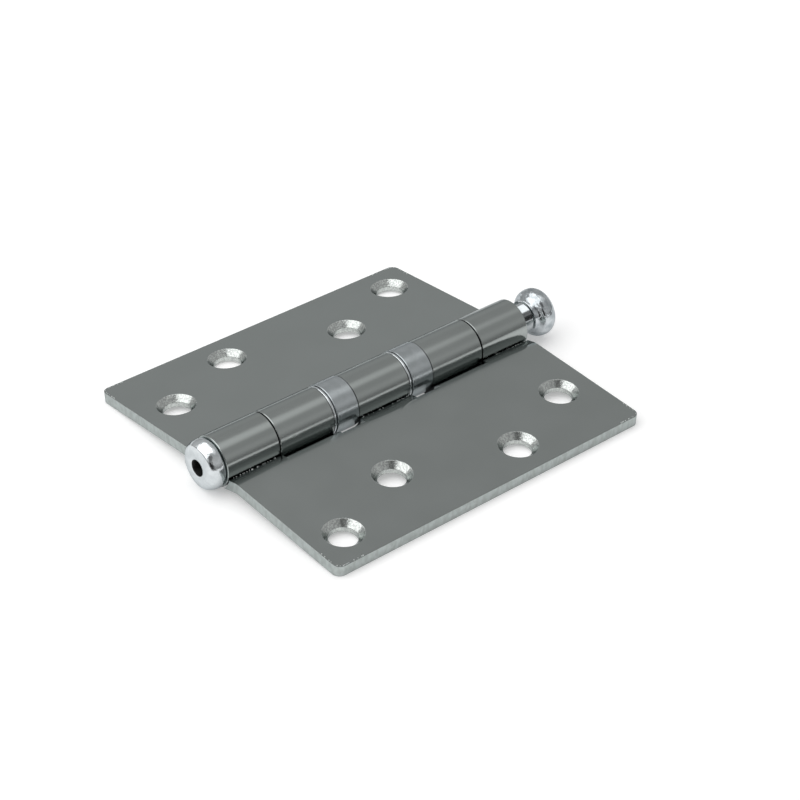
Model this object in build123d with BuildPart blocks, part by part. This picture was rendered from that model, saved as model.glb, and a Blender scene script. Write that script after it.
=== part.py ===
"""Ball bearing butt hinge with a loose pin, lying open with its countersinks up.

The barrel runs along Y, leaf a is on the -X side and leaf b on the +X side. The origin is on the surface
that the hinge lies on, below the pin's axis and midway along the whole length. All sizes are millimetres.
"""

from build123d import *
from math import acos, asin, atan2, cos, degrees, radians, sin, sqrt, tan
import os

# Leaves, cut and folded from sheet
leaf_length = 89.0
leaf_reach = 44.5
leaf_thickness = 2.6
closed_gap = 1.3
corner_radius = 2.0
knuckle_edge_round = 0.2

# Screw holes, counted along the leaf from its middle
hole_radius = 3.35
countersink_radius = 4.75
countersink_angle = 90.0
outer_row_reach = 35.8
inner_row_reach = 26.7
outer_row_places = (-36.1, 14.3)
inner_row_places = (-15.0, 35.4)

# Barrel
pin_radius = 3.5
pin_clearance = 0.05
middle_knuckle_length = 15.2
side_knuckle_length = 15.3
bearing_length = 7.0
knuckle_gap = 0.3

# Joggle that carries each leaf down to its own knuckles
joggle_reach = 8.0
joggle_slope = 40.0
joggle_foot_slope = 8.0
joggle_top_round = 0.6
joggle_round = 1.0
joggle_back_round = 2.4
seam_gap = 0.12

# Root of each leaf beside the other leaf's knuckles and beside the bearings
slot_clearance = 0.35
notch_reach = 8.6
lip_bend_radius = 5.0
lip_end_start = 8.9
lip_end_slope = 16.0
lip_middle_start = 9.4
lip_middle_slope = 16.5
lip_open_start = 9.6
lip_open_slope = 17.0
root_reach = 11.8

# Bearings
shell_radius = 6.25
shell_wall = 0.4
shell_end_wall = 1.5
race_radius = 6.15
race_flange = 0.6
race_running_gap = 0.25
bearing_bore_clearance = 0.08
ball_share_of_room = 0.44
ball_clearance = 0.05
track_share_of_ball = 0.3
ball_count = 12
bearing_edge_round = 0.15

# Pin and its head
pin_pulled_out = 4.3
pin_end_clearance = 0.3
pin_tip_chamfer = 0.8
head_seat_radius = 4.3
bead_radius = 4.7
bead_height = 1.0
head_radius = 6.0
head_height = 7.2
head_widest_height = 3.9
head_under_radius = 3.5
head_round = 2.3

# Bottom plug
plug_radius = 5.75
plug_height = 4.0
plug_front_round = 1.8
plug_back_round = 0.6
plug_stem_length = 5.0
plug_stem_chamfer = 0.5
drift_hole_radius = 1.85

# Sizes that follow
leaf_top = -closed_gap / 2
leaf_back = leaf_top - leaf_thickness
bore_radius = pin_radius + pin_clearance
knuckle_radius = bore_radius + leaf_thickness
axis_height = shell_radius
leaf_droop = asin(axis_height / sqrt(leaf_reach**2 + leaf_back**2)) - atan2(-leaf_back, leaf_reach)

barrel_end = leaf_length / 2
middle_knuckle_end = middle_knuckle_length / 2
side_knuckle_start = middle_knuckle_end + bearing_length
side_knuckle_end = side_knuckle_start + side_knuckle_length
end_knuckle_start = side_knuckle_end + knuckle_gap

slope = radians(joggle_slope)
foot = radians(joggle_foot_slope)
slope_distance = joggle_reach * sin(slope) - leaf_top * cos(slope)
tip_angle = joggle_slope - 90 + degrees(acos((slope_distance - seam_gap) / knuckle_radius))
roll_angle = 270 + joggle_foot_slope - tip_angle

slot_radius = knuckle_radius + slot_clearance

pin_head_seat = barrel_end + pin_pulled_out
plug_face = barrel_end + plug_height
whole_length_middle = (pin_head_seat + head_height - plug_face) / 2
pin_axis = Axis((0, 0, axis_height), (0, 1, 0))


def section_plane(side, along):
    """The plane across a leaf at a place along it, with x out along the leaf and y up from its back."""
    return Plane(
        origin=(0, side * along - whole_length_middle, axis_height),
        x_dir=(side * cos(leaf_droop), 0, -sin(leaf_droop)),
        z_dir=(0, -side, 0),
    )


def face_plane(side, height):
    """The plane of a leaf's own face, a height above the pin's axis, with y along the leaf."""
    return Plane(
        origin=(0, -whole_length_middle, axis_height),
        x_dir=(side * cos(leaf_droop), 0, -sin(leaf_droop)),
        z_dir=(side * sin(leaf_droop), 0, cos(leaf_droop)),
    ).offset(height)


def barrel_plane(along):
    """The plane of a turned piece's half section, with x along the barrel and y out from its axis."""
    return Plane(
        origin=(0, along - whole_length_middle, axis_height),
        x_dir=(0, 1, 0),
        z_dir=(1, 0, 0),
    )


def circles_of(piece, radius):
    """The round edges of a piece that have a radius."""
    return piece.edges().filter_by(GeomType.CIRCLE).filter_by(lambda edge: abs(edge.radius - radius) < 1e-6)


def roll_plane(side, along):
    """The plane that a knuckle's roll starts from at its tip, with x out from the pin and y along it."""
    section = section_plane(side, along)
    out = section.x_dir * cos(radians(tip_angle)) + section.y_dir * sin(radians(tip_angle))
    return Plane(origin=section.origin, x_dir=out, z_dir=out.cross(section.z_dir))


def foot_corner(along_foot, along_slope):
    """Where a line along the foot meets one along the joggle's slope, each at its distance from the pin."""
    turn = sin(slope - foot)
    return (
        (along_slope * cos(foot) - along_foot * cos(slope)) / turn,
        (along_slope * sin(foot) - along_foot * sin(slope)) / turn,
    )


def draw_joggle():
    """Draw the sheet's edge where it joggles down from the leaf and runs in under the pin."""
    inner_start = (bore_radius * sin(foot), -bore_radius * cos(foot))
    outer_start = (knuckle_radius * sin(foot), -knuckle_radius * cos(foot))
    with BuildLine() as strip:
        FilletPolyline(
            (root_reach, leaf_top),
            (joggle_reach, leaf_top),
            foot_corner(bore_radius, slope_distance),
            inner_start,
            radius=[joggle_top_round, joggle_round],
        )
        Line(inner_start, outer_start)
        FilletPolyline(
            outer_start,
            foot_corner(knuckle_radius, slope_distance + leaf_thickness),
            (joggle_reach + leaf_thickness * tan(slope / 2), leaf_back),
            (root_reach, leaf_back),
            radius=[joggle_back_round, joggle_round],
        )
        Line((root_reach, leaf_back), (root_reach, leaf_top))
    make_face(strip.edges())


def run_to_slot(bent):
    """The straight line that goes on from a bent arc's end until it meets the slot's round wall."""
    inward = -(bent @ 1).dot(bent % 1)
    run = inward - sqrt(inward**2 - (bent @ 1).length ** 2 + slot_radius**2)
    return Line(bent @ 1, bent @ 1 + (bent % 1) * run)


def draw_lip(start, bend):
    """Draw the sheet's edge where it bends down from a start to the slot, whose wall goes round the barrel."""
    with BuildLine() as lip:
        top = CenterArc((start, leaf_top - lip_bend_radius), lip_bend_radius, 90, bend)
        back = CenterArc((start, leaf_top - lip_bend_radius), lip_bend_radius - leaf_thickness, 90, bend)
        top_run = run_to_slot(top)
        back_run = run_to_slot(back)
        RadiusArc(top_run @ 1, back_run @ 1, slot_radius)
        Line(top @ 0, (root_reach, leaf_top))
        Line(back @ 0, (root_reach, leaf_back))
        Line((root_reach, leaf_top), (root_reach, leaf_back))
    make_face(lip.edges())


def make_leaf(side, knuckles, slots):
    """Fold one leaf: knuckles are (low, high) spans along it, slots are lists of (place, start, bend)."""
    with BuildPart() as leaf:
        with BuildSketch(face_plane(side, leaf_back)):
            with Locations(((root_reach + leaf_reach) / 2, 0)):
                outline = Rectangle(leaf_reach - root_reach, leaf_length)
            fillet(outline.vertices().group_by(Axis.X)[-1], corner_radius)
        extrude(amount=leaf_thickness)

        for low, high in knuckles:
            with BuildSketch(section_plane(side, high)):
                draw_joggle()
            extrude(amount=high - low)
            with BuildSketch(roll_plane(side, high)):
                with Locations(((bore_radius + knuckle_radius) / 2, (high - low) / 2)):
                    wall = Rectangle(leaf_thickness, high - low)
                fillet(wall.vertices().group_by(Axis.X)[-1], knuckle_edge_round)
            revolve(axis=Axis((0, 0, axis_height), (0, -side, 0)), revolution_arc=roll_angle)

        for place in (-side_knuckle_start, middle_knuckle_end):
            with BuildSketch(face_plane(side, leaf_back)):
                with Locations(((notch_reach + root_reach) / 2, place + bearing_length / 2)):
                    Rectangle(root_reach - notch_reach, bearing_length)
            extrude(amount=leaf_thickness)

        for stations in slots:
            for place, start, bend in stations:
                with BuildSketch(section_plane(side, place)):
                    draw_lip(start, bend)
            loft()

        holes = [(outer_row_reach, place) for place in outer_row_places]
        holes += [(inner_row_reach, place) for place in inner_row_places]
        with Locations(face_plane(side, leaf_top)):
            with Locations(*holes):
                CounterSinkHole(hole_radius, countersink_radius, leaf_thickness, countersink_angle)
    return leaf


def closed_slot(low, high):
    """The stations of a lip that is closed at both ends, and reaches furthest out in its middle."""
    middle = (low + high) / 2
    return [
        (low, lip_end_start, lip_end_slope),
        (middle, lip_middle_start, lip_middle_slope),
        (high, lip_end_start, lip_end_slope),
    ]


leaf_a = make_leaf(
    -1,
    knuckles=[
        (-barrel_end, -end_knuckle_start),
        (-middle_knuckle_end, middle_knuckle_end),
        (end_knuckle_start, barrel_end),
    ],
    slots=[
        closed_slot(-end_knuckle_start, -side_knuckle_start),
        closed_slot(side_knuckle_start, end_knuckle_start),
    ],
)

leaf_b = make_leaf(
    1,
    knuckles=[
        (-side_knuckle_end, -side_knuckle_start),
        (side_knuckle_start, side_knuckle_end),
    ],
    slots=[
        [
            (-barrel_end, lip_open_start, lip_open_slope),
            (-side_knuckle_end, lip_end_start, lip_end_slope),
        ],
        closed_slot(-middle_knuckle_end, middle_knuckle_end),
        [
            (side_knuckle_end, lip_end_start, lip_end_slope),
            (barrel_end, lip_open_start, lip_open_slope),
        ],
    ],
)

# The pin is turned in one piece: shank, bead, and a mushroom head whose crown meets its rim smoothly.
rim_centre = head_radius - head_round
crown_rise = head_height - head_widest_height
crown_radius = (rim_centre**2 + crown_rise**2 - head_round**2) / (2 * (crown_rise - head_round))
crown_angle = degrees(asin(rim_centre / (crown_radius - head_round)))
under_centre = head_radius - head_under_radius
under_start = under_centre + sqrt(head_under_radius**2 - (head_widest_height - bead_height) ** 2)
under_angle = degrees(acos((under_start - under_centre) / head_under_radius))
pin_tip = -(barrel_end - plug_stem_length - pin_end_clearance) + pin_pulled_out - pin_head_seat

with BuildPart() as pin:
    with BuildSketch(barrel_plane(pin_head_seat)):
        with BuildLine():
            Polyline(
                (head_height, 0),
                (pin_tip, 0),
                (pin_tip, pin_radius - pin_tip_chamfer),
                (pin_tip + pin_tip_chamfer, pin_radius),
                (0, pin_radius),
                (0, head_seat_radius),
            )
            ThreePointArc((0, head_seat_radius), (bead_height / 2, bead_radius), (bead_height, under_start))
            CenterArc((head_widest_height, under_centre), head_under_radius, 90, under_angle)
            CenterArc((head_widest_height, rim_centre), head_round, crown_angle, 90 - crown_angle)
            CenterArc((head_height - crown_radius, 0), crown_radius, 0, crown_angle)
        make_face()
    revolve(axis=pin_axis)

# The button plug is pressed into the near end knuckle, and a drift can drive the pin out through it.
with BuildPart() as bottom_plug:
    with BuildSketch(barrel_plane(-barrel_end)):
        with BuildLine():
            Polyline(
                (plug_stem_length, drift_hole_radius),
                (plug_stem_length, bore_radius - plug_stem_chamfer),
                (plug_stem_length - plug_stem_chamfer, bore_radius),
                (0, bore_radius),
                (0, plug_radius - plug_back_round),
            )
            CenterArc(
                (-plug_back_round, plug_radius - plug_back_round), plug_back_round, 0, 90
            )
            Line((-plug_back_round, plug_radius), (plug_front_round - plug_height, plug_radius))
            CenterArc(
                (plug_front_round - plug_height, plug_radius - plug_front_round), plug_front_round, 90, 90
            )
            Polyline(
                (-plug_height, plug_radius - plug_front_round),
                (-plug_height, drift_hole_radius),
                (plug_stem_length, drift_hole_radius),
            )
        make_face()
    revolve(axis=pin_axis)

# Each bearing is a base race with a hub, a ring of balls on it, and a cup-shaped shell over both.
bearing_bore_radius = pin_radius + bearing_bore_clearance
ball_room = shell_radius - shell_wall - bearing_bore_radius
ball_radius = ball_share_of_room * ball_room
ball_circle_radius = bearing_bore_radius + ball_room / 2
track_depth = track_share_of_ball * ball_radius
shell_start = race_flange + race_running_gap
shell_end_face = bearing_length - shell_end_wall
ball_place = shell_end_face + track_depth - ball_clearance - ball_radius
hub_height = ball_place - ball_clearance - ball_radius + track_depth
hub_radius = shell_radius - shell_wall - race_running_gap
bearing_starts = {"lower": -side_knuckle_start, "upper": middle_knuckle_end}


def cut_ball_track():
    """Cut the round track that the balls run in, out of the section being drawn."""
    with Locations((ball_place, ball_circle_radius)):
        Circle(ball_radius + ball_clearance, mode=Mode.SUBTRACT)


shells = {}
races = {}
balls = {}
for name, start in bearing_starts.items():
    with BuildPart() as shells[name]:
        with BuildSketch(barrel_plane(start)):
            with BuildLine():
                Polyline(
                    (shell_start, shell_radius - shell_wall),
                    (shell_end_face, shell_radius - shell_wall),
                    (shell_end_face, bearing_bore_radius),
                    (bearing_length, bearing_bore_radius),
                    (bearing_length, shell_radius),
                    (shell_start, shell_radius),
                    close=True,
                )
            make_face()
            cut_ball_track()
        revolve(axis=pin_axis)
        fillet(circles_of(shells[name], shell_radius), bearing_edge_round)

    with BuildPart() as races[name]:
        with BuildSketch(barrel_plane(start)):
            with BuildLine():
                Polyline(
                    (0, bearing_bore_radius),
                    (hub_height, bearing_bore_radius),
                    (hub_height, hub_radius),
                    (race_flange, hub_radius),
                    (race_flange, race_radius),
                    (0, race_radius),
                    close=True,
                )
            make_face()
            cut_ball_track()
        revolve(axis=pin_axis)
        fillet(circles_of(races[name], race_radius), bearing_edge_round)

    ball_ring = Plane(
        origin=(0, start + ball_place - whole_length_middle, axis_height),
        x_dir=(1, 0, 0),
        z_dir=(0, 1, 0),
    )
    for number in range(ball_count):
        turn = radians(360 * number / ball_count)
        centre = (ball_circle_radius * cos(turn), ball_circle_radius * sin(turn))
        with BuildPart() as balls[name, number + 1]:
            with Locations(ball_ring):
                with Locations(centre):
                    Sphere(ball_radius)

pieces = {"leaf_a": leaf_a, "leaf_b": leaf_b, "pin": pin, "bottom_plug": bottom_plug}
for name in bearing_starts:
    pieces[f"{name}_bearing_shell"] = shells[name]
    pieces[f"{name}_bearing_race"] = races[name]
    for number in range(1, ball_count + 1):
        pieces[f"{name}_ball_{number:02d}"] = balls[name, number]

os.makedirs("parts", exist_ok=True)
for name, piece in pieces.items():
    piece.part.label = name
    export_step(piece.part, f"parts/{name}.step")
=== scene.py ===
# %% [markdown]
# # A ball bearing hinge on a white table
#
# A butt hinge lies open with its countersinks up: two zinc plated leaves folded from sheet, a barrel of
# five rolled knuckles with a ball bearing on each side of the middle one, a bright plug pressed into one
# end and a loose pin with a mushroom head standing a few millimetres out of the other. The solid model
# gives every size and place. This script adds what makes steel look like steel: finishes, light and a
# camera. It also makes the plug, the pin and the balls again with more life than their solids have, and
# the nicks on the sheared edges.

import bmesh
import bpy
from math import atan2, cos, pi, radians, sin
from mathutils import Matrix, Vector
from mathutils.noise import turbulence


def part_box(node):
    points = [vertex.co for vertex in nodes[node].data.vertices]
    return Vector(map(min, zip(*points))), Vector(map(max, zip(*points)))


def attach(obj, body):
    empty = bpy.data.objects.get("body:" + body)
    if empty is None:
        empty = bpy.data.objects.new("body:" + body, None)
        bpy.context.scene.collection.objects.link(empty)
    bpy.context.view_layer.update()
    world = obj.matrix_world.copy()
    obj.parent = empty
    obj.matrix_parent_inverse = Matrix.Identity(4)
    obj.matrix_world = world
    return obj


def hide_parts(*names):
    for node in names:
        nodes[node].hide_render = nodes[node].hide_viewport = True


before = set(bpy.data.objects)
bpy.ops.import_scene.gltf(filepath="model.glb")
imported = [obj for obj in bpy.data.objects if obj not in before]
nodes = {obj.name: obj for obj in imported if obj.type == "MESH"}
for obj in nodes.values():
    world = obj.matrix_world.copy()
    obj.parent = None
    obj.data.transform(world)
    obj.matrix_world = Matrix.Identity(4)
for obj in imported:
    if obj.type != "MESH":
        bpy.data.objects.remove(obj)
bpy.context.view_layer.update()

# %% [markdown]
# ## The camera
#
# The photograph looks down on the hinge from beyond its near corner. The camera is given the way a
# photographer would say it: which way it stands, how high, how far, and through which lens. The three
# axes of the camera are worked out from those angles and put straight into its matrix, so nothing has to
# track it.

# %% Stand the camera where the photographer stood
camera_azimuth = radians(50.12)
camera_height_angle = radians(33.78)
camera_roll = radians(-0.31)
camera_distance = 0.5118
camera_aim = Vector((0.0058, 0.0010, 0.0041))
lens_mm = 99.78


def camera_axes(azimuth, height_angle, roll):
    """The right, up and backward directions of a camera that looks at the aim from these angles."""
    back = Vector((sin(azimuth) * cos(height_angle), -cos(azimuth) * cos(height_angle), sin(height_angle)))
    level = Vector((cos(azimuth), sin(azimuth), 0))
    upright = back.cross(level)
    right = level * cos(roll) + upright * sin(roll)
    return right, back.cross(right), back


right, up, back = camera_axes(camera_azimuth, camera_height_angle, camera_roll)
camera_data = bpy.data.cameras.new("camera")
camera_data.lens = lens_mm
camera_data.sensor_width = 36
camera_data.clip_start = 0.01
camera = bpy.data.objects.new("camera", camera_data)
place = camera_aim + back * camera_distance
camera.matrix_world = Matrix((right, up, back)).transposed().to_4x4()
camera.matrix_world.translation = place
bpy.context.scene.collection.objects.link(camera)
bpy.context.scene.camera = camera
print("camera at", [round(v, 4) for v in place])

# %% [markdown]
# ## The studio
#
# Bare metal has no look of its own: it shows the room. The photograph's room can be read off the hinge.
# The table is pure white. The walls are grey, lighter on the far side and darkest to the right at table
# height. A glow in the ceiling makes the soft streak along the knuckles and dies away towards the pin
# head. One large window leans over the near end, and only the countersinks, the plug and the pin head
# are tilted enough to show it. The photographer is a dark shape below and beside the camera. So the
# world is a tent whose greys follow the direction, the window is an area lamp, and a soft lamp beyond
# the barrel only casts shadows.

# %% Small helpers for node trees
def new_material(name):
    """A material with an empty node tree, and the tree's own output node."""
    material = bpy.data.materials.new(name)
    material.use_nodes = True
    tree = material.node_tree
    tree.nodes.clear()
    return material, tree, tree.nodes.new("ShaderNodeOutputMaterial")


def feed(tree, socket, value):
    """Link a socket to another socket, or set it to a plain value."""
    if hasattr(value, "is_output"):
        tree.links.new(value, socket)
    else:
        socket.default_value = value


def calc(tree, operation, *values):
    """One Math node, fed with sockets or numbers."""
    node = tree.nodes.new("ShaderNodeMath")
    node.operation = operation
    for socket, value in zip(node.inputs, values):
        feed(tree, socket, value)
    return node.outputs[0]


def fade(tree, value, start, end, low=0.0, high=1.0):
    """A smooth change from low to high as a value goes from start to end."""
    node = tree.nodes.new("ShaderNodeMapRange")
    node.interpolation_type = "SMOOTHSTEP"
    for name, number in (("From Min", start), ("From Max", end), ("To Min", low), ("To Max", high)):
        feed(tree, node.inputs[name], number)
    feed(tree, node.inputs["Value"], value)
    return node.outputs[0]


def vector_calc(tree, operation, *values):
    """One Vector Math node, with its vector output or, for a distance or a product, its number."""
    node = tree.nodes.new("ShaderNodeVectorMath")
    node.operation = operation
    for socket, value in zip(node.inputs, values):
        feed(tree, socket, value)
    return node.outputs["Value" if operation in ("DISTANCE", "DOT_PRODUCT") else "Vector"]


# %% The white table
floor_radius = 3.0
floor_whiteness = 0.80
floor_lift = 0.30


def looked_at(tree):
    """One for camera rays, reflections and glass, nought where the floor only scatters light."""
    path = tree.nodes.new("ShaderNodeLightPath")
    camera_or_mirror = calc(tree, "MAXIMUM", path.outputs["Is Camera Ray"], path.outputs["Is Glossy Ray"])
    return calc(tree, "MAXIMUM", camera_or_mirror, path.outputs["Is Transmission Ray"])


bpy.ops.mesh.primitive_circle_add(vertices=96, radius=floor_radius, fill_type="NGON")
floor = bpy.context.object
floor.name = "floor"
material, tree, output = new_material("white_table")
paper = tree.nodes.new("ShaderNodeBsdfDiffuse")
paper.inputs["Color"].default_value = (floor_whiteness, floor_whiteness, floor_whiteness, 1)
lift = tree.nodes.new("ShaderNodeEmission")
feed(tree, lift.inputs["Strength"], calc(tree, "MULTIPLY", looked_at(tree), floor_lift))
both = tree.nodes.new("ShaderNodeAddShader")
feed(tree, both.inputs[0], paper.outputs[0])
feed(tree, both.inputs[1], lift.outputs[0])
feed(tree, output.inputs["Surface"], both.outputs[0])
floor.data.materials.append(material)
print("floor whiteness", floor_whiteness, "lift", floor_lift)

# %% The tent of light
tent_low_left, tent_low_right = 0.48, 0.26
tent_high, tent_top = 0.57, 0.49
left_to_right = -0.4, 0.7
wall_foot_to_high = 0.02, 0.42
wall_high_to_top = 0.44, 0.66
sky_fill = 0.42
glow_direction = Vector((0.133, 0.30, 0.945)).normalized()
glow_degrees = 23, 7
glow_strength = 0.46
watcher_direction = Vector((0.765, -0.597, 0.24)).normalized()
watcher_degrees = 24, 17
watcher_share = 0.05
cap_direction = Vector((0.52, -0.34, 0.78)).normalized()
cap_degrees = 18, 11
cap_share = 0.35


def lobe(tree, direction, middle, outer, inner, low, high):
    """A smooth change from low to high, from outer to inner degrees away from a lobe's middle."""
    closeness = vector_calc(tree, "DOT_PRODUCT", direction, tuple(middle))
    return fade(tree, closeness, cos(radians(outer)), cos(radians(inner)), low, high)


world = bpy.data.worlds.new("tent")
world.use_nodes = True
tree = world.node_tree
background = tree.nodes["Background"]
background.inputs["Color"].default_value = (1, 1, 1, 1)
direction = tree.nodes.new("ShaderNodeTexCoord").outputs["Generated"]
parts = tree.nodes.new("ShaderNodeSeparateXYZ")
feed(tree, parts.inputs[0], direction)
low = fade(tree, parts.outputs["X"], *left_to_right, tent_low_left, tent_low_right)
rise = fade(tree, parts.outputs["Z"], *wall_foot_to_high, low, tent_high)
fall = fade(tree, parts.outputs["Z"], *wall_high_to_top, 0.0, tent_high - tent_top)
glow = lobe(tree, direction, glow_direction, *glow_degrees, 0.0, glow_strength)
watcher = lobe(tree, direction, watcher_direction, *watcher_degrees, 1.0, watcher_share)
cap = lobe(tree, direction, cap_direction, *cap_degrees, 1.0, cap_share)
walls = calc(tree, "ADD", calc(tree, "SUBTRACT", rise, fall), glow)
walls = calc(tree, "MULTIPLY", calc(tree, "MULTIPLY", walls, watcher), cap)
path = tree.nodes.new("ShaderNodeLightPath")
scattered = calc(tree, "MULTIPLY_ADD", path.outputs["Is Camera Ray"], 1 - sky_fill, sky_fill)
mirrored = tree.nodes.new("ShaderNodeMix")
feed(tree, mirrored.inputs["Factor"], path.outputs["Is Glossy Ray"])
feed(tree, mirrored.inputs["A"], scattered)
feed(tree, mirrored.inputs["B"], walls)
feed(tree, background.inputs["Strength"], mirrored.outputs[0])
bpy.context.scene.world = world
print("tent from", tent_low_right, "to", tent_high, "with a glow of", glow_strength)

# %% The window and the softbox
window_direction = Vector((-0.27, -0.442, 0.897)).normalized()
softbox_direction = Vector((-0.06, 0.533, 0.845)).normalized()


def hang_lamp(name, direction, distance, width, height, radiance):
    """A rectangular area lamp that faces the hinge from one direction, as bright as its radiance."""
    lamp = bpy.data.lights.new(name, "AREA")
    lamp.shape = "RECTANGLE"
    lamp.size = width
    lamp.size_y = height
    lamp.energy = radiance * pi * width * height
    hung = bpy.data.objects.new(name, lamp)
    rising = direction.cross(Vector((1, 0, 0))).normalized()
    across = rising.cross(direction)
    hung.matrix_world = Matrix((across, rising, direction)).transposed().to_4x4()
    hung.matrix_world.translation = direction * distance
    bpy.context.scene.collection.objects.link(hung)
    print(name, round(lamp.energy, 3), "watts")
    return hung


hang_lamp("window", window_direction, distance=0.70, width=0.88, height=1.26, radiance=1.35)
softbox = hang_lamp("softbox", softbox_direction, distance=0.70, width=0.50, height=0.34, radiance=1.15)
softbox.visible_glossy = False
bpy.context.scene.view_settings.view_transform = "Standard"

# %% [markdown]
# ## Satin zinc on the leaves
#
# Each leaf is blanked from sheet, folded, and zinc plated afterwards. Its broad faces keep the satin
# skin of rolled steel. Its cut outline is sheared metal, lighter, rougher and a little torn. The
# countersinks are cut by a tool that leaves a mottled, bright cone. All three finishes are one material
# that knows its place: the coordinates are turned into the leaf's own frame in millimetres, where the
# outline is a rounded rectangle and each hole a circle, so a few distances tell which finish belongs
# where.

# %% The leaf's own frame
leaf_droop = radians(3.875)
axis_height_mm = 6.25
axis_middle_mm = 3.75
leaf_half = 44.5
corner_round = 2.0
hole_places = ((35.8, -36.1), (35.8, 14.3), (26.7, -15.0), (26.7, 35.4))
countersink_mm = 4.75


def leaf_frame(tree, side):
    """Object coordinates in millimetres, turned so x runs out along the leaf and z up from its face."""
    mapping = tree.nodes.new("ShaderNodeMapping")
    turn = Matrix.Rotation(-leaf_droop, 3, "Y")
    angles = (0, -leaf_droop, 0)
    if side < 0:
        turn = turn @ Matrix.Rotation(radians(180), 3, "Z")
        angles = (0, leaf_droop, radians(180))
    mapping.inputs["Scale"].default_value = (1000, 1000, 1000)
    mapping.inputs["Rotation"].default_value = angles
    mapping.inputs["Location"].default_value = -(turn @ Vector((0, -axis_middle_mm, axis_height_mm)))
    feed(tree, mapping.inputs["Vector"], tree.nodes.new("ShaderNodeTexCoord").outputs["Object"])
    return mapping.outputs["Vector"]


def from_outline(tree, x, y):
    """How far inside the leaf's rounded outline a point is."""
    past_x = calc(tree, "MAXIMUM", calc(tree, "SUBTRACT", x, leaf_half - corner_round), 0.0)
    across = calc(tree, "ABSOLUTE", y)
    past_y = calc(tree, "MAXIMUM", calc(tree, "SUBTRACT", across, leaf_half - corner_round), 0.0)
    both = calc(tree, "ADD", calc(tree, "MULTIPLY", past_x, past_x), calc(tree, "MULTIPLY", past_y, past_y))
    return calc(tree, "SUBTRACT", corner_round, calc(tree, "SQRT", both))


def from_holes(tree, x, y):
    """How far a point is from the middle of the nearest screw hole."""
    flat = tree.nodes.new("ShaderNodeCombineXYZ")
    feed(tree, flat.inputs["X"], x)
    feed(tree, flat.inputs["Y"], y)
    nearest = None
    for hole in hole_places:
        reach = vector_calc(tree, "DISTANCE", flat.outputs[0], (*hole, 0))
        nearest = reach if nearest is None else calc(tree, "MINIMUM", nearest, reach)
    return nearest


# %% Grain, bumps and the steel itself
metal_edge_tint = (0.60, 0.62, 0.63, 1)
cloud_band = 0.3, 0.7


def noise(tree, place, scale, detail=2.0, stretch=None, roughness=0.5):
    """Noise over a place in millimetres, stretched along its axes if asked."""
    if stretch:
        place = vector_calc(tree, "MULTIPLY", place, stretch)
    node = tree.nodes.new("ShaderNodeTexNoise")
    feed(tree, node.inputs["Vector"], place)
    node.inputs["Scale"].default_value = scale
    node.inputs["Detail"].default_value = detail
    node.inputs["Roughness"].default_value = roughness
    return node.outputs["Fac"]


def blend_colour(tree, factor, first, second):
    """Mix two colours, each a tuple or a socket."""
    node = tree.nodes.new("ShaderNodeMix")
    node.data_type = "RGBA"
    feed(tree, node.inputs["Factor"], factor)
    sockets = [socket for socket in node.inputs if socket.type == "RGBA"]
    for socket, colour in zip(sockets, (first, second)):
        feed(tree, socket, (*colour, 1) if isinstance(colour, tuple) else colour)
    return next(socket for socket in node.outputs if socket.type == "RGBA")


def blend_number(tree, factor, first, second):
    """Mix two numbers, each a number or a socket."""
    node = tree.nodes.new("ShaderNodeMix")
    feed(tree, node.inputs["Factor"], factor)
    feed(tree, node.inputs["A"], first)
    feed(tree, node.inputs["B"], second)
    return node.outputs["Result"]


def raise_surface(tree, heights, edge_radius=0.0002):
    """Bumps, each a height socket and a depth in metres, over edges that look slightly rounded."""
    rounded = tree.nodes.new("ShaderNodeBevel")
    rounded.samples = 6
    rounded.inputs["Radius"].default_value = edge_radius
    normal = rounded.outputs["Normal"]
    for height, depth in heights:
        bump = tree.nodes.new("ShaderNodeBump")
        bump.inputs["Distance"].default_value = depth
        feed(tree, bump.inputs["Height"], height)
        feed(tree, bump.inputs["Normal"], normal)
        normal = bump.outputs["Normal"]
    return normal


def steel_shader(tree, output, colour, roughness, normal):
    """A metal surface from sockets that change over it."""
    steel = tree.nodes.new("ShaderNodeBsdfPrincipled")
    steel.inputs["Metallic"].default_value = 1.0
    feed(tree, steel.inputs["Base Color"], colour)
    feed(tree, steel.inputs["Roughness"], roughness)
    feed(tree, steel.inputs["Normal"], normal)
    steel.inputs["Specular Tint"].default_value = metal_edge_tint
    feed(tree, output.inputs["Surface"], steel.outputs[0])


# %% Painted shade at the joints along the barrel, and the crease beside the middle slot
joint_places = (7.6, 14.6, 30.05)
# Half widths in mm of the near-black painted shade along each joint of the barrel.
gap_shade_inner, gap_shade_outer = 0.12, 0.24
crease_corner_y = 6.5
crease_x = 8.8
crease_curl = 0.062
crease_half_width = 0.45
crease_fade_out = 0.0, 5.5
crease_end_at_slot = 7.4, 6.8


def painted_gap_shade_mask(tree, along):
    """One on the painted shade lines where two rings of the barrel meet, nought away from them."""
    across = calc(tree, "ABSOLUTE", along)
    nearest = None
    for place in joint_places:
        apart = calc(tree, "ABSOLUTE", calc(tree, "SUBTRACT", across, place))
        nearest = apart if nearest is None else calc(tree, "MINIMUM", nearest, apart)
    return fade(tree, nearest, gap_shade_outer, gap_shade_inner)


def crease_ridge(tree, x, y):
    """The stretch mark that curls out from the far corner of the middle slot and dies away."""
    from_corner = calc(tree, "SUBTRACT", crease_corner_y, y)
    squared = calc(tree, "MULTIPLY", from_corner, from_corner)
    curl = calc(tree, "MULTIPLY_ADD", squared, crease_curl, crease_x)
    aside = calc(tree, "ABSOLUTE", calc(tree, "SUBTRACT", x, curl))
    ridge = fade(tree, aside, crease_half_width, 0.0)
    lasting = calc(tree, "MULTIPLY", fade(tree, y, *crease_fade_out), fade(tree, y, *crease_end_at_slot))
    return calc(tree, "MULTIPLY", ridge, lasting)


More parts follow.
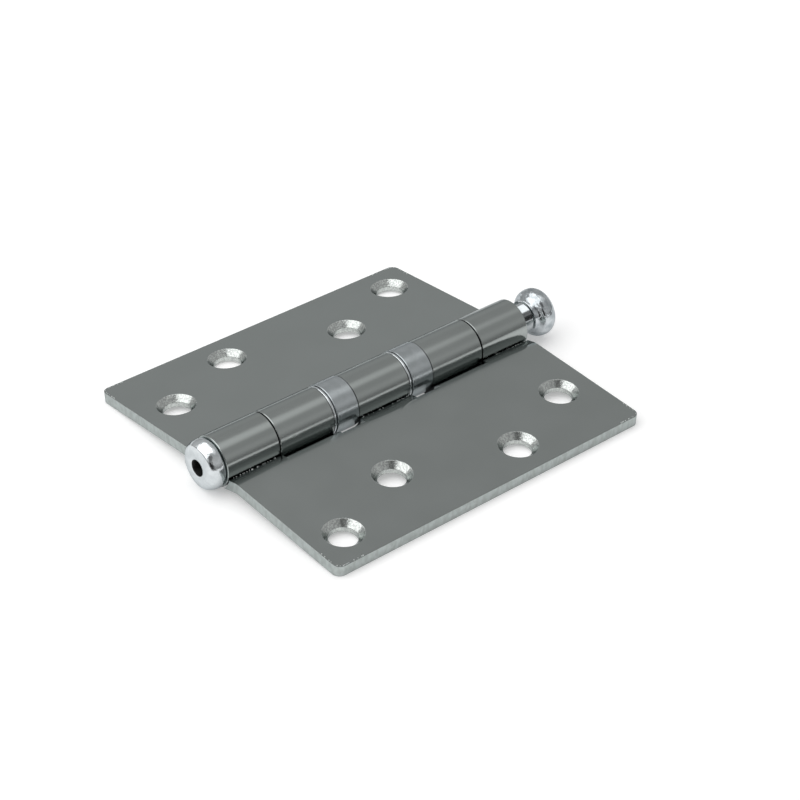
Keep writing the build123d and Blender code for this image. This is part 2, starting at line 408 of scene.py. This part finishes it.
# %% The leaf's finish
skin_greys = (0.346, 0.372, 0.363), (0.357, 0.383, 0.375)
skin_speck = (0.46, 0.48, 0.47)
skin_rough = 0.15, 0.19
sheared_greys = (0.38, 0.41, 0.40), (0.46, 0.50, 0.49)
sheared_rough = 0.30
cone_greys = (0.42, 0.44, 0.43), (0.58, 0.61, 0.59)
cone_rough = 0.20
# Near-black painted shade for the gaps where the barrel's rings meet.
gap_painted_shade = (0.03, 0.03, 0.03)
barrel_inner, barrel_outer = 6.5, 6.9
cut_edge = 0.08, 0.02
cone_edge = countersink_mm + 0.06, countersink_mm - 0.04
satin_depth = 0.0000040
grit_depth = 0.0000006
tear_depth = 0.00006
chatter_depth = 0.00004
crease_depth = 0.00006


def make_leaf_zinc(name, side):
    """Satin sheet, sheared edges and cut countersinks in one finish for the leaf on this side."""
    material, tree, output = new_material(name)
    place = leaf_frame(tree, side)
    parts = tree.nodes.new("ShaderNodeSeparateXYZ")
    feed(tree, parts.inputs[0], place)
    x, y = parts.outputs[:2]

    cloud = noise(tree, place, 0.07)
    speck = noise(tree, place, 3.0)
    skin = blend_colour(tree, fade(tree, cloud, *cloud_band), *skin_greys)
    skin = blend_colour(tree, fade(tree, speck, 0.62, 0.8, 0, 0.2), skin, skin_speck)

    outline = from_outline(tree, x, y)
    cut = fade(tree, outline, *cut_edge)
    tear = noise(tree, place, 1.2, detail=4, stretch=(1, 1, 0.5))
    sheared = blend_colour(tree, fade(tree, tear, 0.35, 0.65), *sheared_greys)
    colour = blend_colour(tree, cut, skin, sheared)

    reach = from_holes(tree, x, y)
    sunk = fade(tree, reach, *cone_edge)
    mottle = noise(tree, place, 2.4, detail=3, roughness=0.6)
    cone = blend_colour(tree, fade(tree, mottle, 0.42, 0.58), *cone_greys)
    colour = blend_colour(tree, sunk, colour, cone)

    # Painted shade: the barrel turns near-black along the joints between its rings.
    barrel = fade(tree, x, barrel_outer, barrel_inner)
    shade_in_gaps = calc(tree, "MULTIPLY", barrel, painted_gap_shade_mask(tree, y))
    colour = blend_colour(tree, shade_in_gaps, colour, gap_painted_shade)

    rough = blend_number(tree, fade(tree, cloud, *cloud_band), *skin_rough)
    rough = blend_number(tree, cut, rough, sheared_rough)
    rough = blend_number(tree, sunk, rough, cone_rough)

    satin = noise(tree, place, 0.35)
    grit = noise(tree, place, 6.0)
    chatter = noise(tree, place, 2.2)
    torn = calc(tree, "MULTIPLY", cut, tear)
    mottled = calc(tree, "MULTIPLY", sunk, chatter)
    heights = [(satin, satin_depth), (grit, grit_depth), (torn, tear_depth), (mottled, chatter_depth)]
    if side > 0:
        heights.append((crease_ridge(tree, x, y), crease_depth))
    steel_shader(tree, output, colour, rough, raise_surface(tree, heights))
    return material


leaf_zinc = {"leaf_a": make_leaf_zinc("leaf_a_zinc", -1), "leaf_b": make_leaf_zinc("leaf_b_zinc", 1)}
print("leaf finish nodes", len(leaf_zinc["leaf_a"].node_tree.nodes))

# %% [markdown]
# ## Turned steel
#
# The pin, the plug and the bearing rings are turned or pressed round, so their marks run round the
# barrel. Stretching a noise along the circles makes them: its coordinates are squeezed across the barrel
# and kept fine along it. The plug and the thin rims of the races are the brightest plating, and the pin
# head is darker and more uneven. The shank is smooth. The bearing shells are a bluer, darker steel, and
# the balls are polished.

# %% Turned finishes
turned_edge_radius = 0.0001
speck_depth = 0.0000015


def make_turned(name, dark, light, rough_low, rough_high, ring_depth, dent_depth):
    """A plated round piece, with marks that run round the barrel and a few soft dents."""
    material, tree, output = new_material(name)
    object_place = tree.nodes.new("ShaderNodeTexCoord").outputs["Object"]
    place = vector_calc(tree, "MULTIPLY", object_place, (1000, 1000, 1000))
    cloud = noise(tree, place, 0.5, detail=3)
    ringed = noise(tree, place, 1.0, detail=3, stretch=(0.12, 3.0, 0.12))
    dents = noise(tree, place, 0.9)
    speck = noise(tree, place, 4.0)
    colour = blend_colour(tree, fade(tree, cloud, *cloud_band), dark, light)
    bright = tuple(min(1.0, value * 1.15) for value in light)
    colour = blend_colour(tree, fade(tree, speck, 0.6, 0.8, 0, 0.5), colour, bright)
    rough = blend_number(tree, fade(tree, ringed, *cloud_band), rough_low, rough_high)
    heights = ((dents, dent_depth), (ringed, ring_depth), (speck, speck_depth))
    steel_shader(tree, output, colour, rough, raise_surface(tree, heights, turned_edge_radius))
    return material


bright_zinc = make_turned(
    "bright_zinc",
    dark=(0.58, 0.615, 0.63),
    light=(0.69, 0.725, 0.74),
    rough_low=0.10,
    rough_high=0.20,
    ring_depth=0.00002,
    dent_depth=0.00006,
)
pin_zinc = make_turned(
    "pin_zinc",
    dark=(0.38, 0.415, 0.435),
    light=(0.62, 0.655, 0.675),
    rough_low=0.10,
    rough_high=0.20,
    ring_depth=0.00004,
    dent_depth=0.00011,
)
shank_steel = make_turned(
    "shank_steel",
    dark=(0.47, 0.50, 0.515),
    light=(0.53, 0.56, 0.575),
    rough_low=0.14,
    rough_high=0.20,
    ring_depth=0.000002,
    dent_depth=0.000005,
)
bearing_steel = make_turned(
    "bearing_steel",
    dark=(0.43, 0.465, 0.475),
    light=(0.47, 0.505, 0.52),
    rough_low=0.20,
    rough_high=0.26,
    ring_depth=0.0000015,
    dent_depth=0.000006,
)
ball_steel = make_turned(
    "ball_steel",
    dark=(0.60, 0.61, 0.62),
    light=(0.68, 0.69, 0.70),
    rough_low=0.05,
    rough_high=0.08,
    ring_depth=0.000001,
    dent_depth=0.000001,
)
# Near-white crumbs: partly pale torn metal, partly a painted glint.
torn_zinc_and_glint = make_turned(
    "torn_zinc_and_glint",
    dark=(0.80, 0.83, 0.82),
    light=(0.88, 0.90, 0.89),
    rough_low=0.5,
    rough_high=0.6,
    ring_depth=0.00001,
    dent_depth=0.00001,
)
# A near-black finish that is painted shade for the inside of the plug's bore and its stem hidden in the
# knuckle.
bore_painted_shade = make_turned(
    "bore_painted_shade",
    dark=(0.02, 0.02, 0.02),
    light=(0.04, 0.04, 0.04),
    rough_low=0.5,
    rough_high=0.7,
    ring_depth=0.00001,
    dent_depth=0.00001,
)
print("turned finish nodes", len(bright_zinc.node_tree.nodes))

# %% [markdown]
# ## The button plug
#
# The plug is a turned steel button, pressed into the near knuckle, with a drift hole through its middle.
# Tumbling with other parts has rounded it and left soft dents, and those dents are what breaks up its
# reflections. A plain revolve would be too perfect, so its profile is swept round the pin axis in mesh
# code, and a smooth noise moves every point of its outer face along the axis by a few hundredths of a
# millimetre.

# %% Turn a profile round the pin axis
turned_around = 120
dent_depth_mm = 0.022
dents_per_mm = 1.1
usual_turbulence = 0.4


def pin_axis_point(reach, along, turn):
    """A place in metres from its reach and turn round the pin axis and its place along it, in mm."""
    return Vector((reach * sin(turn), along, axis_height_mm + reach * cos(turn))) / 1000


def turn_round_pin(name, profile, dented):
    """A profile swept round the pin axis, its points moved by a smooth noise where dented says so."""
    shape = bmesh.new()
    rings = []
    for step in range(turned_around):
        turn = 2 * pi * step / turned_around
        ring = []
        for reach, along in profile:
            push = 0.0
            if dented(reach, along):
                spot = pin_axis_point(reach, along, turn) * 1000
                push = dent_depth_mm * (turbulence(spot * dents_per_mm, 2, False) - usual_turbulence)
            ring.append(shape.verts.new(pin_axis_point(reach, along + push, turn)))
        rings.append(ring)
    ends_meet = profile[0][0] > 0
    for ring, following in zip(rings, rings[1:] + rings[:1]):
        pairs = list(zip(ring, following))
        for (a, b), (c, d) in zip(pairs, pairs[1:] + pairs[:1] if ends_meet else pairs[1:]):
            shape.faces.new((a, b, d, c)).smooth = True
    bmesh.ops.remove_doubles(shape, verts=shape.verts, dist=1e-8)
    bmesh.ops.recalc_face_normals(shape, faces=shape.faces)
    mesh = bpy.data.meshes.new(name)
    shape.to_mesh(mesh)
    shape.free()
    piece = bpy.data.objects.new(name, mesh)
    bpy.context.scene.collection.objects.link(piece)
    return piece


# %% Turn the plug
plug_profile = (
    (1.85, -43.3), (1.85, -51.95), (2.05, -52.2), (2.5, -52.22), (3.2, -52.22), (3.9, -52.19),
    (4.5, -52.11), (4.95, -51.97), (5.15, -51.87), (5.26, -51.76), (5.42, -51.53), (5.6, -51.2),
    (5.76, -50.8), (5.88, -50.4), (5.97, -49.95), (6.0, -49.5), (5.97, -49.1), (5.87, -48.75),
    (5.65, -48.47), (5.3, -48.31), (4.9, -48.26), (3.5, -48.26), (3.5, -43.3),
)
bore_wall_mm = 1.95
stem_start_y = -48.0
undented_core_mm = 2
plug_dents_end_y = -48.3

plug = turn_round_pin(
    "button_plug",
    plug_profile,
    lambda reach, along: along < plug_dents_end_y and reach > undented_core_mm,
)
plug.data.materials.append(bright_zinc)
plug.data.materials.append(bore_painted_shade)
# Faces in the bore and on the stem take the near-black painted shade.
for face in plug.data.polygons:
    middle = face.center * 1000
    reach = Vector((middle.x, 0, middle.z - axis_height_mm)).length
    face.material_index = 1 if reach < bore_wall_mm or middle.y > stem_start_y else 0
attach(plug, "leaf_a_side")
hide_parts("bottom_plug")
print("plug faces", len(plug.data.polygons))

# %% [markdown]
# ## The loose pin
#
# The pin is turned from bar: a plain shank, a seat, a neck that flares like a trumpet, and a mushroom
# head with a domed crown. The flare is hollow, so it shows the room twice: once in the hollow and once
# on the round of the rim. That double highlight is what makes the head read as turned metal, so the pin
# is turned again here with the flare, from the same axis, seat, widest ring and crown as the solid.

# %% Turn the pin
pin_low, pin_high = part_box("pin")
tip_y = pin_low.y * 1000
crown_top_y = pin_high.y * 1000
shank_mm = 3.5
tip_chamfer = 0.8
seat_y = 45.05
neck_mm = 4.3
flare_start_y = 45.3
flare_round = 1.65
flare_turns = (0, 13, 26, 39, 52, 65)
rim_edge_points = [(5.36, 46.86), (5.56, 47.05), (5.75, 47.4), (5.88, 47.8), (5.97, 48.35)]
rim_centre_mm, rim_centre_y, rim_round = 3.7, 48.95, 2.3
rim_turns = (0, 12, 24, 36, 48, 59.75)
crown_round = 9.645
crown_turns = (26, 20, 14, 8, 0)
pin_dents_start_y = 45.4


def arc(centre_reach, centre_along, reach_round, along_round, turns):
    """Profile points on an arc, one at each turn in degrees. A negative round bends it inward."""
    return [
        (centre_reach + reach_round * cos(radians(turn)), centre_along + along_round * sin(radians(turn)))
        for turn in turns
    ]


pin_profile = [
    (0, tip_y),
    (shank_mm - tip_chamfer, tip_y),
    (shank_mm, tip_y + tip_chamfer),
    (shank_mm, seat_y - 0.01),
    (shank_mm + 0.02, seat_y),
    (neck_mm - 0.15, seat_y),
    (neck_mm - 0.02, seat_y + 0.1),
]
pin_profile += arc(neck_mm + flare_round, flare_start_y, -flare_round, flare_round, flare_turns)
pin_profile += rim_edge_points
pin_profile += arc(rim_centre_mm, rim_centre_y, rim_round, rim_round, rim_turns)
crown_centre_y = crown_top_y - crown_round
pin_profile += [
    (crown_round * sin(radians(turn)), crown_centre_y + crown_round * cos(radians(turn)))
    for turn in crown_turns
]

pin = turn_round_pin(
    "mushroom_pin",
    pin_profile,
    lambda reach, along: along > pin_dents_start_y and reach > undented_core_mm,
)
pin.data.materials.append(pin_zinc)
pin.data.materials.append(shank_steel)
for face in pin.data.polygons:
    face.material_index = 1 if face.center.y * 1000 < seat_y else 0
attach(pin, "pin")
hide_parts("pin")
print("pin faces", len(pin.data.polygons), "from", round(tip_y, 2), "to", round(crown_top_y, 2))

# %% [markdown]
# ## The bearing balls
#
# Twelve hard steel balls roll in each bearing, between the race and the shell. They hide inside at rest
# and show when a bearing is taken apart. A ring of equal balls is a rule, so Geometry Nodes make it: a
# circle with one point for each ball, a ball on every point, then the result becomes one plain mesh that
# turns with the ring.

# %% Helpers for trees that make shapes
def add_sockets(tree, *sockets):
    """Named inputs of a tree, and the identifier of each for its modifier."""
    made = {}
    for name, kind in sockets:
        made[name] = tree.interface.new_socket(name=name, in_out="INPUT", socket_type=kind).identifier
    tree.interface.new_socket(name="Geometry", in_out="OUTPUT", socket_type="NodeSocketGeometry")
    return made


def link_all(tree, *links):
    """Link each source socket to its sink."""
    for source, sink in links:
        tree.links.new(source, sink)


def hand_out(tree, instances, finish):
    """The last steps of a tree: make its instances real, give them their finish, and hand them out."""
    realized = tree.nodes.new("GeometryNodeRealizeInstances")
    painted = tree.nodes.new("GeometryNodeSetMaterial")
    result = tree.nodes.new("NodeGroupOutput")
    link_all(
        tree,
        (instances, realized.inputs[0]),
        (finish, painted.inputs["Material"]),
        (realized.outputs[0], painted.inputs[0]),
        (painted.outputs[0], result.inputs[0]),
    )


def settle(name, base, tree, values):
    """Run a tree on a base mesh with these input values, and keep the result as a plain mesh."""
    maker = bpy.data.objects.new(name + "_maker", base)
    bpy.context.scene.collection.objects.link(maker)
    modifier = maker.modifiers.new("nodes", "NODES")
    modifier.node_group = tree
    for identifier, value in values.items():
        modifier[identifier] = value
    view = bpy.context.evaluated_depsgraph_get()
    mesh = bpy.data.meshes.new_from_object(maker.evaluated_get(view))
    bpy.data.objects.remove(maker)
    piece = bpy.data.objects.new(name, mesh)
    bpy.context.scene.collection.objects.link(piece)
    return piece


# %% A tree that sets balls on a ring
ball_tree = bpy.data.node_groups.new("ring_of_balls", "GeometryNodeTree")
ball_inputs = add_sockets(
    ball_tree,
    ("Balls", "NodeSocketInt"),
    ("Ring radius", "NodeSocketFloat"),
    ("Ball radius", "NodeSocketFloat"),
    ("Middle", "NodeSocketVector"),
    ("Turn", "NodeSocketRotation"),
    ("Finish", "NodeSocketMaterial"),
)
given = ball_tree.nodes.new("NodeGroupInput")
circle = ball_tree.nodes.new("GeometryNodeMeshCircle")
ball = ball_tree.nodes.new("GeometryNodeMeshIcoSphere")
ball.inputs["Subdivisions"].default_value = 4
smooth = ball_tree.nodes.new("GeometryNodeSetShadeSmooth")
stood = ball_tree.nodes.new("GeometryNodeTransform")
placed = ball_tree.nodes.new("GeometryNodeInstanceOnPoints")
link_all(
    ball_tree,
    (given.outputs["Balls"], circle.inputs["Vertices"]),
    (given.outputs["Ring radius"], circle.inputs["Radius"]),
    (given.outputs["Ball radius"], ball.inputs["Radius"]),
    (given.outputs["Turn"], stood.inputs["Rotation"]),
    (given.outputs["Middle"], stood.inputs["Translation"]),
    (circle.outputs[0], stood.inputs[0]),
    (ball.outputs[0], smooth.inputs[0]),
    (stood.outputs[0], placed.inputs["Points"]),
    (smooth.outputs[0], placed.inputs["Instance"]),
)
hand_out(ball_tree, placed.outputs[0], given.outputs["Finish"])
print("ball tree nodes", len(ball_tree.nodes))

# %% Two rings of balls
pin_axis = Vector((0, 0, axis_height_mm / 1000))
for bearing in ("lower", "upper"):
    balls = sorted(name for name in nodes if name.startswith(bearing + "_ball_"))
    low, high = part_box(balls[0])
    middle = (low + high) / 2
    across = Vector((middle.x, 0, middle.z)) - pin_axis
    ring = settle(
        bearing + "_ball_ring",
        bpy.data.meshes.new("ring_base"),
        ball_tree,
        {
            ball_inputs["Balls"]: len(balls),
            ball_inputs["Ring radius"]: across.length,
            ball_inputs["Ball radius"]: (high.z - low.z) / 2,
            ball_inputs["Middle"]: (0, middle.y, pin_axis.z),
            ball_inputs["Turn"]: (radians(90), -atan2(across.z, across.x), 0),
            ball_inputs["Finish"]: ball_steel,
        },
    )
    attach(ring, bearing + "_balls")
    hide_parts(*balls)
    print(ring.name, len(balls), "balls", len(ring.data.polygons), "faces")

# %% [markdown]
# ## Nicks along the sheared edges
#
# A punch and die leave small torn burrs along the upper edge of sheet, most of all round corners and
# along the lips beside the knuckles. Their near-white finish is partly pale torn metal and partly a painted
# glint. They follow the edges with no two alike, which is work for Geometry Nodes: a path along the edge,
# points on it, and a tiny flattened crumb on a random share of the points, each turned and sized by chance
# from one fixed seed.

# %% A tree that scatters crumbs along an edge
nick_tree = bpy.data.node_groups.new("nicks_along_edge", "GeometryNodeTree")
nick_inputs = add_sockets(
    nick_tree,
    ("Edge", "NodeSocketGeometry"),
    ("Spacing", "NodeSocketFloat"),
    ("Share", "NodeSocketFloat"),
    ("Size", "NodeSocketFloat"),
    ("Seed", "NodeSocketInt"),
    ("Finish", "NodeSocketMaterial"),
)


def random_value(tree, kind, seed, **limits):
    """A random value node of one kind with its limits, and its output socket of that kind."""
    node = tree.nodes.new("FunctionNodeRandomValue")
    node.data_type = kind
    for name, limit in limits.items():
        node.inputs[name].default_value = limit
    tree.links.new(seed, node.inputs["Seed"])
    wanted = {"BOOLEAN": "BOOLEAN", "FLOAT_VECTOR": "VECTOR"}[kind]
    return node, next(socket for socket in node.outputs if socket.type == wanted)


given = nick_tree.nodes.new("NodeGroupInput")
path = nick_tree.nodes.new("GeometryNodeMeshToCurve")
spaced = nick_tree.nodes.new("GeometryNodeResampleCurve")
spaced.mode = "LENGTH"
crumb = nick_tree.nodes.new("GeometryNodeMeshIcoSphere")
crumb.inputs["Subdivisions"].default_value = 1
seed = given.outputs["Seed"]
chosen, chosen_value = random_value(nick_tree, "BOOLEAN", seed)
sized, sized_value = random_value(
    nick_tree, "FLOAT_VECTOR", seed, Min=(0.5, 0.35, 0.25), Max=(1.5, 0.9, 0.6)
)
turned, turned_value = random_value(nick_tree, "FLOAT_VECTOR", seed, Max=(pi, pi, pi))
placed = nick_tree.nodes.new("GeometryNodeInstanceOnPoints")
link_all(
    nick_tree,
    (given.outputs["Edge"], path.inputs["Mesh"]),
    (given.outputs["Spacing"], spaced.inputs["Length"]),
    (given.outputs["Share"], chosen.inputs["Probability"]),
    (given.outputs["Size"], crumb.inputs["Radius"]),
    (path.outputs[0], spaced.inputs["Curve"]),
    (spaced.outputs[0], placed.inputs["Points"]),
    (crumb.outputs["Mesh"], placed.inputs["Instance"]),
    (chosen_value, placed.inputs["Selection"]),
    (sized_value, placed.inputs["Scale"]),
    (turned_value, placed.inputs["Rotation"]),
)
hand_out(nick_tree, placed.outputs[0], given.outputs["Finish"])
print("nick tree nodes", len(nick_tree.nodes))

# %% Paths along the edges, and the crumbs on them
face_height = -0.64
nick_inset = 0.33
nick_run = 7.0
corner_turns = (90, 75, 60, 45, 30, 15, 0)
lip_corners = (
    ((6.40, -1.17), (-43.6, -31.0)),
    ((6.37, -1.33), (-6.8, 6.8)),
    ((6.37, -1.40), (31.0, 43.6)),
)


def corner_path(end):
    """Leaf places just inside the upper edge, round one outer corner and a little way past it."""
    middle = leaf_half - corner_round
    inset_round = corner_round - nick_inset
    edge = leaf_half - nick_inset
    places = [(leaf_half - nick_run, edge, face_height)]
    for turn in corner_turns:
        x = middle + inset_round * cos(radians(turn))
        places.append((x, middle + inset_round * sin(radians(turn)), face_height))
    places.append((edge, leaf_half - nick_run, face_height))
    return [(x, end * y, z) for x, y, z in places]


def edge_mesh(name, side, paths):
    """Leaf places joined up as loose edges, put where the leaf on this side is."""
    turn = Matrix.Rotation(-leaf_droop, 3, "Y")
    if side < 0:
        turn = turn @ Matrix.Rotation(radians(180), 3, "Z")
    back_turn = turn.inverted()
    axis_place = Vector((0, -axis_middle_mm, axis_height_mm))
    points, edges = [], []
    for places in paths:
        start = len(points)
        for place in places:
            points.append((back_turn @ Vector(place) + axis_place) / 1000)
        edges += [(i, i + 1) for i in range(start, len(points) - 1)]
    mesh = bpy.data.meshes.new(name)
    mesh.from_pydata(points, edges, [])
    return mesh


for leaf, side in (("leaf_a", -1), ("leaf_b", 1)):
    paths = [corner_path(1), corner_path(-1)]
    if side > 0:
        for (x, z), (low, high) in lip_corners:
            paths.append([(x, low, z), (x, high, z)])
    nicks = settle(
        leaf + "_nicks",
        edge_mesh(leaf + "_edges", side, paths),
        nick_tree,
        {
            nick_inputs["Spacing"]: 0.00035,
            nick_inputs["Share"]: 0.45,
            nick_inputs["Size"]: 0.00021,
            nick_inputs["Seed"]: 7,
            nick_inputs["Finish"]: torn_zinc_and_glint,
        },
    )
    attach(nicks, leaf + "_side")
    print(nicks.name, len(nicks.data.polygons), "faces")

# %% [markdown]
# ## Finishes on the solids
#
# Every other piece keeps the solid that the model gave it, and only its material slots are filled.

# %% Paint the solids
def finish_for(name):
    """The finish that belongs on a solid, by its name."""
    if name in leaf_zinc:
        return leaf_zinc[name]
    if "ball_" in name:
        return ball_steel
    return bearing_steel if "shell" in name else bright_zinc


for name, piece in nodes.items():
    piece.data.materials.clear()
    piece.data.materials.append(finish_for(name))
print("finished", len(nodes), "solids")
